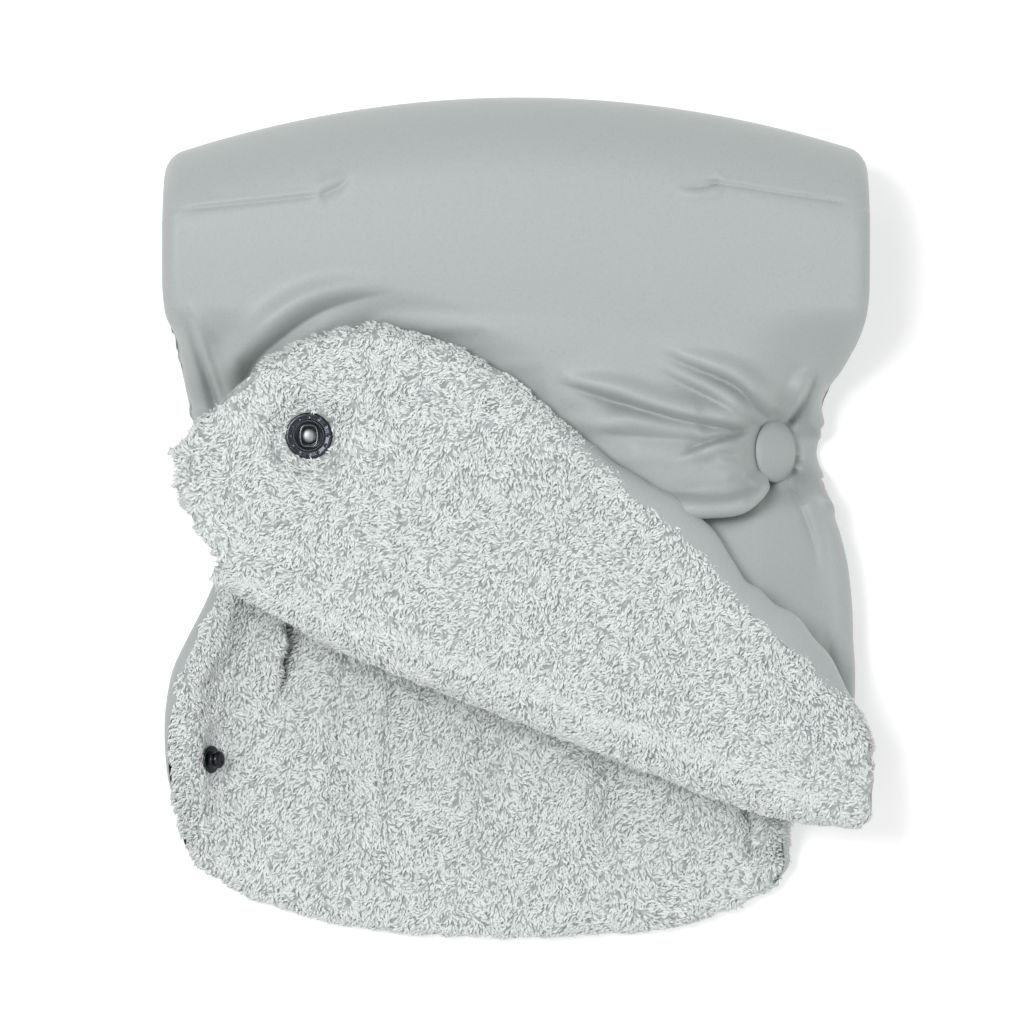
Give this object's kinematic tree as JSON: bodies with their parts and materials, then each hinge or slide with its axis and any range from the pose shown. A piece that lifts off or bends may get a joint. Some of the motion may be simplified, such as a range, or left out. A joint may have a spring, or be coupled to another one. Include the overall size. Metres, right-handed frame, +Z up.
{
  "type": "hand warmer muff",
  "caption": "Padded, fleece-lined muff that wraps a pushchair handlebar and snaps shut at its sides, with its front edge folded up.",
  "frame": {"origin": "middle of the footprint, on the surface the muff lies on", "axes": "+Z up off the surface the back panel lies on, +Y towards the top fold that wraps the handlebar, +X to the right across the muff"},
  "size_m": [0.2844, 0.336, 0.0743],
  "materials": {
    "shell_cloth": "matte water-repellent woven shell",
    "wadding": "soft wadding",
    "pile_lining": "deep curly pile fleece",
    "cap_metal": "satin",
    "snap_metal": "black nickel plate",
    "spring_wire": "bright"
  },
  "bodies": {
    "back": {"back_shell": "shell_cloth", "back_wadding": "wadding", "back_lining": "pile_lining", "upper_left_stud": "snap_metal", "upper_left_stud_cap": "cap_metal", "upper_left_stud_cap_cover": "shell_cloth", "upper_right_stud": "snap_metal", "upper_right_stud_cap": "cap_metal", "upper_right_stud_cap_cover": "shell_cloth", "lower_left_stud": "snap_metal", "lower_left_stud_cap": "cap_metal", "lower_left_stud_cap_cover": "shell_cloth", "lower_right_stud": "snap_metal", "lower_right_stud_cap": "cap_metal", "lower_right_stud_cap_cover": "shell_cloth"},
    "front": {"front_shell": "shell_cloth", "front_wadding": "wadding", "front_lining": "pile_lining", "upper_left_cap_cover": "shell_cloth", "upper_left_cap": "cap_metal", "upper_left_socket": "snap_metal", "upper_left_spring": "spring_wire", "upper_right_cap_cover": "shell_cloth", "upper_right_cap": "cap_metal", "upper_right_socket": "snap_metal", "upper_right_spring": "spring_wire", "lower_right_cap_cover": "shell_cloth", "lower_right_cap": "cap_metal", "lower_right_socket": "snap_metal", "lower_right_spring": "spring_wire"},
    "flap": {"flap_shell": "shell_cloth", "flap_wadding": "wadding", "flap_lining": "pile_lining", "lower_left_cap_cover": "shell_cloth", "lower_left_cap": "cap_metal", "lower_left_socket": "snap_metal", "lower_left_spring": "spring_wire"}
  },
  "joints": [
    {"name": "top_fold", "type": "hinge", "parent": "back", "child": "front", "pos_m": [0, 0.168, 0.035], "axis": [-1, 0, 0], "range_deg": [0, 165]},
    {"name": "flap_fold", "type": "hinge", "parent": "front", "child": "flap", "pos_m": [-0.103, -0.029, 0.06], "axis": [0.9322, -0.3579, -0.0544], "range_deg": [0, 178]}
  ]
}
